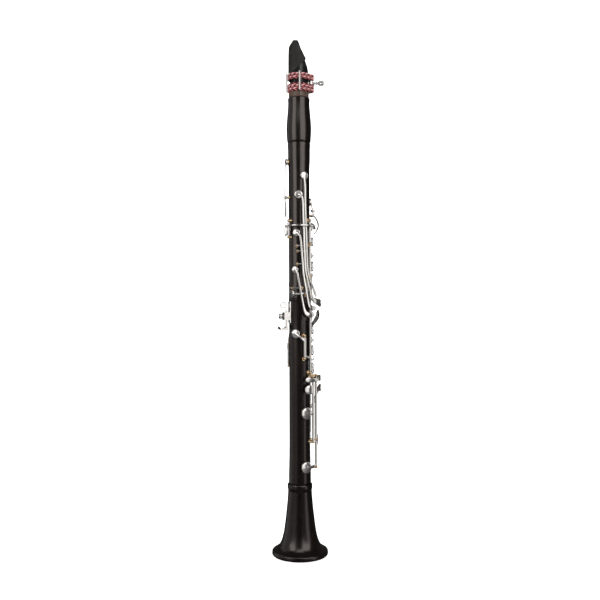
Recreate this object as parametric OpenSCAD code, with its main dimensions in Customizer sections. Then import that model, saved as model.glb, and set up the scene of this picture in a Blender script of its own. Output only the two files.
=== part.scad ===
// B-flat soprano clarinet, Boehm system, standing on its bell.
// Origin: centre of the bell rim. +Z runs up to the mouthpiece, +X is the finger (front) side,
// -X the thumb side and -Y the player's right. Angles are measured round Z from +X.

/* [Body] */
// Length of the bell up to its socket rim
bell_len = 90.4; // [85:0.1:95]
// Radius of the bell at its rim
bell_r = 35.85; // [34:0.05:37]
// Height of the lower joint's top face
lower_top = 326.5; // [325.5:0.1:327.5]
// Height of the upper joint's top face
upper_top = 526; // [524:0.1:530]
// Height of the barrel's top face
barrel_top = 583; // [580:0.1:588]
// Height of the top of the mouthpiece cap
cap_top = 657; // [655:0.1:659]
// Radius of the upper joint
up_r = 13.4; // [13.3:0.05:13.5]
// Radius of the lower joint
low_r = 13.3; // [13.2:0.05:13.4]
// Radius of the air bore
bore_r = 7.4; // [7:0.05:7.6]

/* [Keywork] */
// Radius of the hinge rods
rod_r = 0.9; // [0.8:0.05:0.95]
// Radius of the hinge tubes
tube_r = 1.6; // [1.5:0.05:1.65]
// Radius of a post's ball
ball_r = 1.85; // [1.7:0.05:1.9]
// Thickness of the key arms
arm_t = 1.4; // [1.2:0.05:1.45]

/* [Hidden] */
$fn = 48;

// clearances
run = 0.05;                 // radial running clearance of hinge tubes and of the tuning slide
gap = 0.15;                 // end clearance of a tube against a post
dome = 0.13;                // height of a cup's dome, as a share of its radius
// wood
tenon_r = 11.3;             // wood of a tenon under its cork
cork_r = 12.1;              // outside of a tenon cork
socket_r = cork_r + run;    // inside of a socket
tenon_len = 17;
ring_hole_gap = 0.8;        // between a finger ring and the tone-hole chimney in it
flange_r = 2.5;
flange_seat = 0.4;          // how deep a post's flange is let into the wood
pad_t = 1.5;                // thickness of a small pad
big_pad_t = 1.9;            // thickness of a large pad
seat_depth = 1.4;           // depth of a small pad's recess
big_seat_depth = 2.3;       // depth of a large pad's recess
rim_height = 0.6;           // height of the rim in a recess, as a share of its depth
shut = 0.1;                 // between a shut pad and its rim
up_shut = up_r - seat_depth * (1 - rim_height) + shut;           // radius of the face of a shut pad
low_shut = low_r - seat_depth * (1 - rim_height) + shut;
big_shut = low_r - big_seat_depth * (1 - rim_height) + shut;
up_open = up_r + 0.6;       // radius of the face of a pad that stands open
low_open = low_r + 0.6;
big_open = low_r + 0.3;
// hinge lines, as [angle, radius]
ring_line = [-50, 17.5];
thumb_line = [-155, 17];
sliver_line = [-62, 15.7];
g_line = [52, 17.5];
c_line = [84, 17.5];
b_line = [-79, 16.9];
f_line = [-35, 18.6];
e_line = [-4, 21.2];
a_flat_line = [34, 18.8];
// heights of the finger holes, top to bottom, and the outside radius of their rings
index_z = 399.6;
middle_z = 368;
third_z = 343;
rh_rings = [[287, 6.1], [260.5, 6.6], [237.5, 7.2]];
lh_ring_r = [5.9, 6.6];
ring_seat = 16.1;           // radius to which a ringed tone hole stands up
ring_mid = 16.9;            // radius of the middle of a finger ring
thumb_z = 413.5;
thumb_ring_r = 7.4;
// side-key pads, as [angle, height, cup radius]
side_pads = [[-76, 482.6, 5], [-105, 458.3, 5.2], [-116, 410.2, 4.8], [-124, 363.3, 4.6]];
// side-key hinges, as [angle, distance, height, first post, second post, barrel]
side_hinges = [[-80, 15, 393.5, -10.5, 5.9, 2.8], [-80, 15, 386.8, -9.4, 3.5, 0],
               [-90, 15, 370.6, -6.4, 4.1, 0.6], [-105, 15, 340.2, -9.4, 4.9, 1.6]];
// other pads, as [angle, height, cup radius]
register_hole = [180, 501, 4.2];
throat_a_hole = [0, 450.5, 4.6];
g_sharp_hole = [82, 452, 4.4];
index_hole = [-8, 416.5, 3.6];
middle_hole = [0, 381.5, 3.6];
e_flat_hole = [-143.5, 333, 4.8];
c_sharp_hole = [122, 345, 4.8];
b_hole = [-121.6, 282.3, 5.6];
lower_vent = [0, 273.8, 3.8];
f_hole = [-67, 181.4, 7.7];
e_hole = [-69, 113, 7.4];
a_flat_hole = [72, 207, 6];
f_sharp_hole = [72, 172, 6.5];
register_seat = 15.3;

wood = [0.10, 0.08, 0.075];
ebonite = [0.08, 0.075, 0.08];
silver = [0.86, 0.86, 0.87];
gold = [0.85, 0.66, 0.42];
cork = [0.72, 0.55, 0.38];
cord = [0.78, 0.32, 0.33];
skin = [0.88, 0.84, 0.76];
steel = [0.55, 0.56, 0.58];

// ---- points and curves --------------------------------------------------------------------------
function unit(v) = v / norm(v);
function pick(p, i) = p[max(0, min(len(p) - 1, i))];
function blend(a, b, c, d, t) = 0.5 * (2 * b + (c - a) * t + (2 * a - 5 * b + 4 * c - d) * t * t
                                       + (3 * b - a - 3 * c + d) * t * t * t);
// a smooth curve through the points p, with n steps between neighbours
function smooth(p, n) = [for (i = [0 : len(p) - 2]) for (k = [0 : n - 1])
                             blend(pick(p, i - 1), p[i], p[i + 1], pick(p, i + 2), k / n),
                         p[len(p) - 1]];
function polar(q) = [q[1] * cos(q[0]), q[1] * sin(q[0]), q[2]];
function arc(c, r, a0, a1, n) = [for (k = [0 : n]) c + r * [cos(a0 + (a1 - a0) * k / n),
                                                             sin(a0 + (a1 - a0) * k / n)]];

// local +Z points away from the instrument's axis, at angle a, radius r and height z
module at(a, r, z) rotate([0, 0, a]) translate([r, 0, z]) rotate([0, 90, 0]) children();

// local +Z runs along the axis of a cross hinge h, round the body towards growing angles
module across(h, y) rotate([0, 0, h[0]]) translate([h[1], y, h[2]]) rotate([-90, 0, 0]) children();

// ---- bodies of revolution -----------------------------------------------------------------------
module turned(outline) rotate_extrude($fn = 96) polygon(outline);

module sleeve(r_out, r_in, z0, z1) translate([0, 0, z0]) difference() {
    cylinder(r = r_out, h = z1 - z0, $fn = 96);
    translate([0, 0, -1]) cylinder(r = r_in, h = z1 - z0 + 2, $fn = 96);
}

// the seat let into the wood under a post
module post_seat(a, z, body_r) at(a, body_r - flange_seat, z) cylinder(r = flange_r + 0.05, h = 4);

// a key's tone hole: a flat recess with a raised rim round the hole
module pad_seat(h, body_r, depth, hole) {
    at(h[0], body_r - depth, h[1]) difference() {
        cylinder(r = h[2] + 0.5, h = depth + 6);
        translate([0, 0, -1]) cylinder(r = hole + 1.1, h = 1 + depth * rim_height);
    }
    at(h[0], 2, h[1]) cylinder(r = hole, h = body_r);
}

// ---- key parts ----------------------------------------------------------------------------------
// a post on the wood, holding a rod that runs along the body at line = [angle, radius]
module post(line, z, body_r, ball = ball_r, flange_h = 0.5) {
    a = line[0];
    r = line[1];
    difference() {
        union() {
            at(a, body_r - flange_seat, z) cylinder(r = flange_r, h = flange_seat + flange_h);
            at(a, body_r, z) cylinder(r1 = ball * 1.05, r2 = ball * 0.62, h = r - body_r);
            at(a, r, z) sphere(r = ball);
        }
        translate(polar([a, r, z - 4])) cylinder(r = rod_r, h = 8);
    }
}

// a post for a cross hinge h, at distance y from the hinge's own middle
module cross_post(h, y, body_r, ball = 1.3) {
    a = h[0] + atan(y / h[1]);
    r = norm([h[1], y]);
    difference() {
        union() {
            at(a, body_r - flange_seat, h[2]) cylinder(r = flange_r - 0.5, h = flange_seat + 0.05);
            at(a, body_r, h[2]) cylinder(r1 = 1.1, r2 = 0.85, h = r - body_r);
            at(a, r, h[2]) sphere(r = ball);
        }
        across(h, y - 4) cylinder(r = rod_r, h = 8);
    }
}

module rod(line, z0, z1) translate(polar([line[0], line[1], z0])) cylinder(r = rod_r, h = z1 - z0);
module cross_rod(h, y0, y1) across(h, y0) cylinder(r = rod_r, h = y1 - y0);

// a key on a tube that turns round its rod between heights z0 and z1; its bore also clears arms that
// reach over the post at either end
module hinged(line, z0, z1, r = tube_r) difference() {
    union() {
        translate(polar([line[0], line[1], z0])) cylinder(r = r, h = z1 - z0);
        children();
    }
    translate(polar([line[0], line[1], z0 - 12])) cylinder(r = rod_r + run, h = z1 - z0 + 24);
}

// a see-saw key on a short barrel on a cross hinge, at distance y from the hinge's middle
module see_saw(h, y, half, lug_a, lug_top) difference() {
    union() {
        across(h, y - half) cylinder(r = 1.45, h = 2 * half);
        at(lug_a, h[1], h[2]) cylinder(r = 1.25, h = lug_top - h[1]);
        children();
    }
    across(h, y - half - 3) cylinder(r = rod_r + run, h = 2 * half + 6);
}

// a smooth flat bar through points [angle, radius, height, width, thickness]
SECTION = [[1, -0.4], [1, 0.15], [0.82, 0.66], [0.42, 0.96], [-0.42, 0.96], [-0.82, 0.66], [-1, 0.15],
           [-1, -0.4], [-0.84, -1], [0.84, -1]];
module bar(path, steps = 3) {
    p = smooth(path, steps);
    n = len(p);
    m = len(SECTION);
    points = [for (i = [0 : n - 1])
                  let (t = unit(polar(pick(p, i + 1)) - polar(pick(p, i - 1))),
                       out = [cos(p[i][0]), sin(p[i][0]), 0],
                       up = unit(out - t * (out * t)),
                       side = cross(up, t))
                  for (s = SECTION) polar(p[i]) + side * s[0] * p[i][3] / 2 + up * s[1] * p[i][4] / 2];
    sides = [for (i = [0 : n - 2]) for (j = [0 : m - 1])
                 let (a = i * m + j, b = i * m + (j + 1) % m)
                 for (f = [[a, a + m, b], [b, a + m, b + m]]) f];
    polyhedron(points, concat([[for (j = [0 : m - 1]) j]], sides,
                              [[for (j = [m - 1 : -1 : 0]) (n - 1) * m + j]]), convexity = 4);
}

// a domed cup over a pad; the pad's face is at radius face
module cup(h, face, t = pad_t) at(h[0], face, h[1]) rotate_extrude() {
    r = h[2];
    difference() {
        polygon(concat([[0, 0.3]], [[r - 0.25, 0.3], [r, 0.55], [r, t + 0.35]],
                       arc([r - 0.7, t + 0.35], 0.7, 15, 75, 3),
                       [for (k = [6 : -1 : 0]) let (f = 0.14 * k) [r * f,
                           t + 1 + dome * r * (1 - f * f)]]));
        square([r - 0.55, t + 0.1]);
    }
}

module pad(h, face, t = pad_t) at(h[0], face, h[1]) rotate_extrude() {
    r = h[2] - 0.6;
    polygon([[0, 0], [r - 0.5, 0], [r, 0.35], [r, t - 0.05], [0, t - 0.05]]);
}

// a finger ring: outside radius r, standing round a tone hole at angle a and height z
module finger_ring(a, z, r, mid = ring_mid) at(a, mid, z) rotate_extrude()
    polygon([[r - 1.3, -0.55], [r - 0.5, -0.75], [r, -0.2], [r, 0.3], [r - 0.45, 0.7], [r - 1.1, 0.55]]);

// ---- tubes of the body --------------------------------------------------------------------------
module upper_joint() color(wood) difference() {
    union() {
        turned(concat([[bore_r, lower_top - tenon_len], [tenon_r, lower_top - tenon_len],
                       [tenon_r, lower_top],
                       [up_r + 0.1, lower_top], [up_r + 0.25, lower_top + 0.4],
                           [up_r + 0.25, lower_top + 2]],
                      [[up_r, lower_top + 4]],
                      smooth([[up_r, upper_top - 37], [up_r + 0.2, upper_top - 31],
                              [up_r + 0.5, upper_top - 25],
                              [up_r + 0.68, upper_top - 19], [up_r + 0.72, upper_top - 13],
                              [up_r + 0.8, upper_top - 7.5]], 2),
                      smooth([[up_r + 0.95, upper_top - 5.5], [up_r + 1.05, upper_top - 3.5]], 2),
                      [[up_r + 1.05, upper_top - 1.1], [up_r + 0.2, upper_top - 0.1], [tenon_r, upper_top],
                       [tenon_r, upper_top + tenon_len], [bore_r, upper_top + tenon_len]]));
        chimney(0, index_z, lh_ring_r[0]);
        chimney(0, middle_z, lh_ring_r[1]);
        at(0, 10, third_z) cylinder(r1 = 6.5, r2 = 5.2, h = 4.7);
    }
    for (h = [[0, index_z, lh_ring_r[0]], [0, middle_z, lh_ring_r[1]]])
        at(h[0], 2, h[1]) cylinder(r = h[2] - 1.3 - ring_hole_gap - 1.3, h = 20);
    at(0, 2, third_z) cylinder(r = 3.6, h = 20);
    at(180, 2, thumb_z) cylinder(r = 4.6, h = 20);
    at(register_hole[0], 2, register_hole[1]) cylinder(r = 2.6, h = 20);
    for (h = side_pads) pad_seat(h, up_r, seat_depth, h[2] - 2.4);
    for (h = [throat_a_hole, g_sharp_hole, index_hole, middle_hole, e_flat_hole, c_sharp_hole])
        pad_seat(h, up_r, seat_depth, h[2] - 2);
    for (p = upper_post_list) post_seat(p[0][0], p[1], up_r);
    for (z = sliver_posts) post_seat(sliver_line[0], z, up_r);
    for (h = upper_cross_list) for (y = [h[3], h[4]]) post_seat(h[0] + atan(y / h[1]), h[2], up_r);
}

module chimney(a, z, ring_r) at(a, 9, z)
    cylinder(r = ring_r - 1.3 - ring_hole_gap, h = ring_seat - 9);

module lower_joint() color(wood) difference() {
    union() {
        turned(concat([[bore_r + 3, bell_len - tenon_len], [tenon_r + 1, bell_len - tenon_len],
                       [tenon_r + 1, bell_len], [low_r + 0.6, bell_len], [low_r + 0.85, bell_len + 0.5]],
                      smooth([[low_r + 0.85, bell_len + 3], [low_r + 0.8, bell_len + 10],
                              [low_r + 0.6, bell_len + 18], [low_r + 0.38, bell_len + 28],
                              [low_r + 0.15, bell_len + 40], [low_r, bell_len + 52]], 2),
                      smooth([[low_r, lower_top - 3.4], [low_r + 0.2, lower_top - 2.8],
                              [low_r + 0.55, lower_top - 2.2]], 3),
                      [[low_r + 0.55, lower_top - 0.5], [low_r + 0.1, lower_top], [socket_r, lower_top],
                       [socket_r, lower_top - tenon_len - 0.3], [bore_r, lower_top - tenon_len - 0.3],
                       [bore_r, 200]]));
        for (h = rh_rings) chimney(0, h[0], h[1]);
        // ledge for the side keys' touches
        intersection() {
            sleeve(15.1, 13.1, 299, 326);
            rotate([0, 0, -72]) translate([0, -4.4, 298]) cube([20, 8.8, 30]);
        }
    }
    for (h = rh_rings) at(0, 2, h[0]) cylinder(r = h[1] - 1.3 - ring_hole_gap - 1.3, h = 20);
    for (h = [b_hole, lower_vent]) pad_seat(h, low_r, seat_depth, h[2] - 2);
    for (h = [f_hole, e_hole, a_flat_hole, f_sharp_hole]) pad_seat(h, low_r, big_seat_depth, h[2] - 2.6);
    for (p = lower_post_list) post_seat(p[0][0], p[1], low_r);
}

module bell() color(wood) turned(concat(
    arc([bell_r - 2.4, 2.4], 2.4, -90, 0, 6),
    smooth([[bell_r - 0.15, 4.4], [bell_r - 1, 6.2], [30.2, 9], [26.9, 12], [23.7, 18], [20.65, 30],
            [18.2, 48], [16.1, 68], [15.2, 81]], 4),
    [[15.2, 83.6], [15.8, 84.4], [15.9, 87.5], [15.8, 89.9], [15.4, bell_len],
     [socket_r + 1, bell_len], [socket_r + 1, bell_len - tenon_len - 0.3],
     [bore_r + 3, bell_len - tenon_len - 0.3]],
    smooth([[11, 66], [12.9, 48], [15.4, 30], [18.6, 17], [22.6, 10], [28.5, 4.6],
            [31.8, 0.8]], 4), [[32.6, 0]]));

module upper_top_cork() color(cork) sleeve(cork_r, tenon_r, upper_top + 3, upper_top + tenon_len - 2);
module upper_bottom_cork() color(cork) sleeve(cork_r, tenon_r, lower_top - tenon_len + 2, lower_top - 3);
module lower_bottom_cork() color(cork)
    sleeve(cork_r + 1, tenon_r + 1, bell_len - tenon_len + 2, bell_len - 3);

module register_vent() color(gold) at(180, 8.4, register_hole[1]) difference() {
    union() {
        cylinder(r = 2.6, h = register_seat - 8.4);
        translate([0, 0, up_r - 8.4 + 0.75]) cylinder(r = 3.7, h = 0.5);
    }
    translate([0, 0, -1]) cylinder(r = 1.5, h = 9);
}

module thumb_tube() color(silver) at(180, 8.2, thumb_z) difference() {
    union() {
        cylinder(r = 4.6, h = 16 - 8.2);
        translate([0, 0, up_r - 8.2 + 0.1]) cylinder(r = 5.2, h = 1);
    }
    translate([0, 0, -1]) cylinder(r = 3.9, h = 10);
}

// ---- posts, rods and springs --------------------------------------------------------------------
upper_post_list = [[ring_line, 426], [ring_line, 395.7], [ring_line, 355], [thumb_line, 404.7],
                   [thumb_line, 425.7], [g_line, 424], [g_line, 446], [c_line, 334], [c_line, 356]];
upper_cross_list = concat(side_hinges, [[180, 17.2, 455.6, -4, 4, 0], [0, 17.2, 433, -4, 4, 0]]);
low_post_r = 1.4;           // ball radius of the low posts under the side keys
sliver_posts = [331.2, 349.4];
lower_post_list = [[ring_line, 304.5], [ring_line, 233.2], [b_line, 279.6], [b_line, 250.8],
                   [f_line, 227.5], [f_line, 144.5], [e_line, 228.5], [e_line, 146], [e_line, 110.5],
                   [a_flat_line, 228.5], [a_flat_line, 192], [a_flat_line, 156],
                   [[78, 18], 268], [[78, 18], 240], [[104, 18], 268], [[104, 18], 240],
                   [[130, 18], 268], [[130, 18], 240]];

module upper_posts() color(gold) {
    for (p = upper_post_list) post(p[0], p[1], up_r);
    for (z = sliver_posts) post(sliver_line, z, up_r, low_post_r, 0.05);
    for (h = side_hinges) for (y = [h[3], h[4]]) cross_post(h, y, up_r);
    for (h = [upper_cross_list[4], upper_cross_list[5]]) for (y = [h[3], h[4]])
        cross_post(h, y, up_r, 1.7);
}

module upper_rods() color(steel) {
    rod(ring_line, 353.4, 427.4);
    rod(thumb_line, 403.2, 427.2);
    rod(g_line, 422.6, 447.4);
    rod(c_line, 332.6, 357.4);
    rod(sliver_line, sliver_posts[0] - 1, sliver_posts[1] + 1);
    for (h = upper_cross_list) cross_rod(h, h[3] - 0.9, h[4] + 0.9);
}

module lower_posts() color(gold) for (p = lower_post_list) post(p[0], p[1], low_r);

module lower_rods() color(steel) {
    rod(ring_line, 231.8, 306);
    rod(b_line, 249.4, 281);
    rod(f_line, 143, 229);
    rod(e_line, 109, 230);
    rod(a_flat_line, 154.6, 230);
    for (a = [78, 104, 130]) rod([a, 18], 238.6, 269.4);
}

// a needle spring that starts at the foot of the post at height z and runs up along its line
module needle(line, z, len, body_r)
    translate(polar([line[0], body_r + 0.85, z + 1.06 * ball_r])) cylinder(r = 0.3, h = len);

module upper_springs() color(steel) {
    needle(ring_line, 395.7, 16, up_r);
    needle(ring_line, 355, 16, up_r);
    needle(thumb_line, 404.7, 12, up_r);
    needle(g_line, 424, 12, up_r);
    needle(c_line, 334, 12, up_r);
}

module lower_springs() color(steel) {
    needle(ring_line, 233.2, 13, low_r);
    needle(b_line, 250.8, 16, low_r);
    needle(f_line, 144.5, 20, low_r);
    needle(e_line, 146, 20, low_r);
    needle(a_flat_line, 192, 20, low_r);
    for (a = [78, 104, 130]) needle([a, 18], 240, 14, low_r);
}

// ---- keys of the upper joint --------------------------------------------------------------------
module register_key() color(silver) see_saw(upper_cross_list[4], 0, 1.9, 180, 18.2) {
    bar([[180, 17.7, 431, 2.5, 1], [180, 17.6, 432.5, 6, 1.2], [180, 17.4, 438, 7.4, 1.3],
         [180, 17.6, 446, 5, 1.4], [180, 18.4, 453, 3, 1.5], [180, 18.4, 458, 2.8, 1.5],
         [180, 18.2, 478, 2.5, 1.4], [180, 18, 494, 2.5, 1.4], [180, 18, 500, 3.4, 1.2],
         [180, 17.9, 503.5, 2, 1]]);
    cup(register_hole, register_seat + 0.1, 1.2);
}
module register_pad() color(skin) pad(register_hole, register_seat + 0.1, 1.2);

module thumb_ring_key() color(silver) hinged(thumb_line, 404.7 + ball_r + gap, 425.7 - ball_r - gap) {
    finger_ring(180, thumb_z, thumb_ring_r, 17.3);
    bar([[-155, 17.2, 419, 2.2, 1.4], [-146, 18.8, 419, 2.3, 1.4], [-132, 20.6, 419, 2.4, 1.3],
         [-110, 21.5, 419, 2.4, 1.3], [-85, 21.6, 419, 2.4, 1.3], [-62, 21.5, 419, 2.4, 1.3],
         [-46, 20.8, 419, 2.4, 1.3], [-40, 20.3, 419, 1.4, 1.1]]);
    at(-103, 21.5, 419) cylinder(r = 1.5, h = 1.3);
}

module throat_a_key() color(silver) see_saw(upper_cross_list[5], 0, 1.9, 0, 19) {
    bar([[0, 16, 450.5, 4, 1.2], [0, 16.8, 446, 3, 1.4], [0, 17.7, 440, 3, 1.5], [0, 19.2, 434, 3.2, 1.6],
         [0, 22.3, 429.5, 4, 1.5], [0, 24.6, 425, 6, 1.3], [0, 25.3, 420, 6.6, 1.3],
             [0, 23.4, 414.5, 6, 1.3],
         [0, 20.4, 410.5, 4.5, 1.3], [0, 19.4, 409, 2.2, 1.1]]);
    cup(throat_a_hole, up_shut, pad_t);
    at(10, 16.6, 439.6) cylinder(r = 1.5, h = 5);
    bar([[0, 17.6, 440, 3, 1.4], [5, 18, 439.8, 2.8, 1.4], [12, 18.2, 439.6, 2.4, 1.3]]);
}
module throat_a_pad() color(skin) pad(throat_a_hole, up_shut);

module throat_g_sharp_key() color(silver) hinged(g_line, 424 + ball_r + gap, 446 - ball_r - gap) {
    bar([[52, 17.8, 441, 3, 1.4], [61, 18, 443, 2.8, 1.4], [72, 17.2, 449, 3, 1.3],
         [82, 16, 452, 4, 1.1]]);
    bar([[52, 17.8, 430, 3, 1.4], [44, 18.6, 428, 3.2, 1.4], [34, 20.8, 424, 5, 1.3],
         [24, 22.8, 420, 6.4, 1.3], [17, 24, 417, 3, 1.2]]);
    cup(g_sharp_hole, up_shut, pad_t);
    pad(g_sharp_hole, up_shut);
}

module side_cup(n) cup(side_pads[n], up_shut, pad_t);
module side_key_1() color(silver) see_saw(side_hinges[0], side_hinges[0][5], 1.3, -69.5, 18.1) {
    bar([[-76, 15.6, 482.6, 3.4, 1.1], [-76, 16.3, 477, 2.7, 1.3], [-76, 17.9, 468, 2.5, arm_t],
         [-75.5, 17.9, 445, 2.5, arm_t], [-72, 17.9, 418, 2.5, arm_t], [-69.5, 18.1, 395, 2.5, arm_t],
         [-68.5, 18.4, 378, 2.5, arm_t], [-66, 18.9, 362, 2.6, arm_t], [-58, 20.3, 350, 2.7, arm_t],
         [-47, 21.4, 341, 3.2, arm_t], [-38, 21.9, 334.5, 6, arm_t], [-29, 22, 331.8, 6.8, arm_t],
         [-22, 21.9, 331, 4, 1.2]]);
    side_cup(0);
}
module side_key_2() color(silver) see_saw(side_hinges[1], side_hinges[1][5], 1.3, -80, 18.1) {
    bar([[-106, 15.6, 458.3, 3.4, 1.1], [-98, 16.4, 457.6, 2.7, 1.3], [-89.5, 17.6, 455, 2.5, arm_t],
         [-86, 17.9, 447, 2.5, arm_t], [-85, 17.9, 435, 2.5, arm_t], [-82, 17.9, 412, 2.5, arm_t],
         [-80, 18.1, 390, 2.5, arm_t], [-78, 18.5, 374, 2.5, arm_t], [-75, 19, 360, 2.6, arm_t],
         [-67, 20, 347, 2.7, arm_t], [-59, 21, 335, 3, arm_t], [-50, 21.7, 326.5, 5, arm_t],
         [-40, 21.9, 323.5, 6.4, arm_t], [-30, 22, 323, 5.6, arm_t], [-26, 21.9, 323, 3, 1.2]]);
    side_cup(1);
}
module side_key_3() color(silver) see_saw(side_hinges[2], side_hinges[2][5], 1.3, -88, 18.3) {
    bar([[-117, 15.6, 410.2, 3.4, 1.1], [-108, 16.4, 409.2, 2.7, 1.3], [-99, 17.5, 406, 2.5, arm_t],
         [-95, 17.9, 399, 2.5, arm_t], [-92, 18, 388, 2.5, arm_t], [-88, 18.4, 372, 2.5, arm_t],
         [-84.5, 18.8, 356, 2.6, arm_t], [-77, 19.5, 341, 2.7, arm_t], [-72, 20.4, 330, 2.8, arm_t],
         [-66, 21.1, 320, 4, arm_t], [-56, 21.7, 315.4, 6.4, arm_t], [-44, 21.9, 314.7, 6.2, arm_t],
         [-34, 21.9, 314.7, 5, arm_t], [-31, 21.9, 314.7, 3, 1.2]]);
    side_cup(2);
}
module side_key_4() color(silver) see_saw(side_hinges[3], side_hinges[3][5], 1.3, -99, 18.3) {
    bar([[-125, 15.6, 363.3, 3.4, 1.1], [-116, 16.4, 362.2, 2.7, 1.3], [-109, 17.4, 358.5, 2.5, arm_t],
         [-105.5, 18, 352, 2.5, arm_t], [-100, 18.4, 341.5, 2.5, arm_t], [-94.5, 18.8, 331.5, 2.6, arm_t],
         [-88.5, 19.4, 321, 2.7, arm_t], [-83, 20.2, 312, 3.4, arm_t], [-74, 21, 307.5, 5.6, arm_t],
         [-60, 21.5, 306.3, 6, arm_t], [-47, 21.7, 306.3, 5, arm_t], [-43, 21.7, 306.3, 3, 1.2]]);
    side_cup(3);
}
module side_pad_1() color(skin) pad(side_pads[0], up_shut);
module side_pad_2() color(skin) pad(side_pads[1], up_shut);
module side_pad_3() color(skin) pad(side_pads[2], up_shut);
module side_pad_4() color(skin) pad(side_pads[3], up_shut);

// the arm from the long ring line to a cup or ring on the front, ending half as wide as reach
module front_arm(z, reach, end_r) {
    end_a = -asin(reach / end_r);
    bar([[-50, 18, z, 3, 1.4], [-42, 18.6, z, 2.8, 1.4], [(end_a - 42) / 2, 18.3, z, 2.6, 1.3],
         [end_a, end_r, z, 2.8, 1.2]], 2);
}
module ring_with_arm(z, r) {
    finger_ring(0, z, r);
    front_arm(z, r - 0.6, 17.5);
}

module index_ring_key() color(silver) hinged(ring_line, 395.7 + ball_r + gap, 426 - ball_r - gap) {
    ring_with_arm(index_z, lh_ring_r[0]);
    front_arm(index_hole[1], 2.4, 16.7);
    cup(index_hole, up_open);
    pad(index_hole, up_open);
}

module middle_ring_key() color(silver) hinged(ring_line, 355 + ball_r + gap, 395.7 - ball_r - gap) {
    ring_with_arm(middle_z, lh_ring_r[1]);
    front_arm(middle_hole[1], 0, 16.7);
    cup(middle_hole, up_open);
    pad(middle_hole, up_open);
    bar([[-50, 17.9, 359, 3.4, 1.5], [-41, 17.9, 357.5, 3.2, 1.4], [-36, 17.5, 352, 2.8, 1.4],
         [-35, 17, 343, 2.8, 1.3], [-36, 17, 333, 3, 1.3], [-37, 17, 327.5, 4, 1.3],
             [-37, 17, 325.5, 3, 1.2]]);
}

module e_flat_sliver_key() color(silver)
    hinged(sliver_line, sliver_posts[0] + 1.4 + gap, sliver_posts[1] - 1.4 - gap, 1.35) {
    bar([[-62, 15.3, 345.5, 2.8, 1.1], [-52, 14.7, 347.5, 2.6, 1], [-38, 14.7, 350, 2.4, 1],
         [-27, 14.9, 353, 2.6, 1], [-16, 16.6, 356, 3.2, 1.2], [-6, 17.9, 357, 4, 1.3],
         [4, 18.1, 357, 4, 1.3], [9, 18, 357, 2, 1.1]]);
    bar([[-62, 15.3, 335, 2.8, 1.1], [-74, 14.45, 333.6, 2.4, 0.9], [-95, 14.35, 333, 2.3, 0.85],
         [-112, 14.5, 333, 2.3, 0.9], [-121, 15.3, 333, 2.4, 1], [-130, 16, 333, 2.8, 1],
         [-144, 15.7, 333, 3, 1]]);
    cup(e_flat_hole, up_shut, pad_t);
}
module e_flat_pad() color(skin) pad(e_flat_hole, up_shut);

module c_sharp_key() color(silver) hinged(c_line, 334 + ball_r + gap, 356 - ball_r - gap) {
    bar([[84, 17.8, 345, 3, 1.4], [96, 18, 345, 2.7, 1.4], [108, 16.8, 345, 2.8, 1.3],
         [122, 16, 345, 4, 1.1]]);
    bar([[84, 18, 339, 3.4, 1.4], [72, 19.2, 336, 3.2, 1.5], [52, 22.4, 331, 3.6, 1.5],
         [34, 25.6, 326, 5.5, 1.5], [20, 27.6, 322.5, 8.5, 1.5], [8, 28.2, 321, 10, 1.5],
         [-1, 28, 320.5, 8, 1.4], [-4, 27.8, 320.5, 4, 1.2]]);
    cup(c_sharp_hole, up_shut, pad_t);
    pad(c_sharp_hole, up_shut);
}

// ---- keys of the lower joint --------------------------------------------------------------------
module lower_ring_key() color(silver) hinged(ring_line, 233.2 + ball_r + gap, 304.5 - ball_r - gap) {
    for (h = rh_rings) ring_with_arm(h[0], h[1]);
    front_arm(lower_vent[1], 0, 16.7);
    cup(lower_vent, low_open);
    pad(lower_vent, low_open);
    bar([[-50, 18, 299, 3.4, 1.4], [-41, 17.9, 301, 3, 1.4], [-36, 16.6, 307, 2.8, 1.3],
         [-36, 15.5, 315, 2.8, 1.2], [-36, 15.5, 324, 3, 1.2], [-36, 15.5, 330, 3.6, 1.2],
         [-36, 15.5, 332, 2.6, 1.1]]);
}

module b_sliver_key() color(silver) hinged(b_line, 250.8 + ball_r + gap, 279.6 - ball_r - gap, 1.95) {
    bar([[-79, 17.6, 273, 3.4, 1.4], [-88, 18, 275.5, 3, 1.4], [-100, 17.3, 278.6, 2.8, 1.3],
         [-111, 16.2, 281, 3, 1.2], [-121.6, 15.6, 282.3, 3.6, 1.1]]);
    bar([[-79, 15.8, 255.5, 3, 1.2], [-68, 14.8, 254, 2.8, 1.1], [-50, 14.5, 251.5, 2.5, 1.1],
         [-34, 14.8, 250, 2.4, 1.1], [-20, 16.4, 249, 2.6, 1.2], [-8, 18.2, 249, 3, 1.3],
         [4, 18.6, 249, 3, 1.3], [9, 18.5, 249, 1.8, 1.1]]);
    cup(b_hole, low_shut, pad_t);
}
module b_pad() color(skin) pad(b_hole, low_shut);

module f_key() color(silver) hinged(f_line, 144.5 + ball_r + gap, 227.5 - ball_r - gap) {
    cup(f_hole, big_open, big_pad_t);
    bar([[-35, 19, 181.4, 4.2, 1.5], [-44, 19, 181.4, 3.6, 1.5], [-54, 17.5, 181.4, 3.2, 1.4],
         [-67, 17.1, 181.4, 5, 1.2]]);
    bar([[-35, 19, 211, 4.5, 1.5], [-44, 20.6, 211.3, 6, 1.5], [-53, 22, 211.8, 9.5, 1.5],
         [-66, 22.4, 212, 11.5, 1.5], [-78, 22, 211.6, 9, 1.5], [-83, 21.6, 211.4, 5, 1.3]]);
}
module f_pad() color(skin) pad(f_hole, big_open, big_pad_t);

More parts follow.
